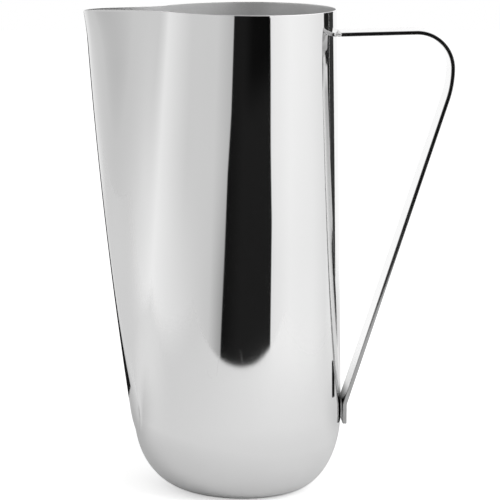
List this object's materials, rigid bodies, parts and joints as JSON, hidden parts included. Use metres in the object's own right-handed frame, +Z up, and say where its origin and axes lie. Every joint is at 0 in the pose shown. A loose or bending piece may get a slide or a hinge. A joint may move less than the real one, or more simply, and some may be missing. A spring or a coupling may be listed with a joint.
{
  "type": "carafe",
  "caption": "Tall polished steel carafe with a round base, a long pulled spout that grows out of the wall, and an open flat-strap handle.",
  "frame": {"origin": "centre of the flat base, on the surface the carafe stands on", "axes": "+Z up along the body, +X towards the handle, -X towards the spout"},
  "size_m": [0.182, 0.0972, 0.24],
  "materials": {
    "polished_body": "mirror polished outside, satin inside",
    "polished_strap": "polished",
    "weld": "ground weld metal"
  },
  "bodies": {
    "root": {"body_shell": "polished_body", "handle_strap": "polished_strap", "upper_weld": "weld", "lower_weld_low": "weld", "lower_weld_high": "weld"}
  },
  "joints": []
}
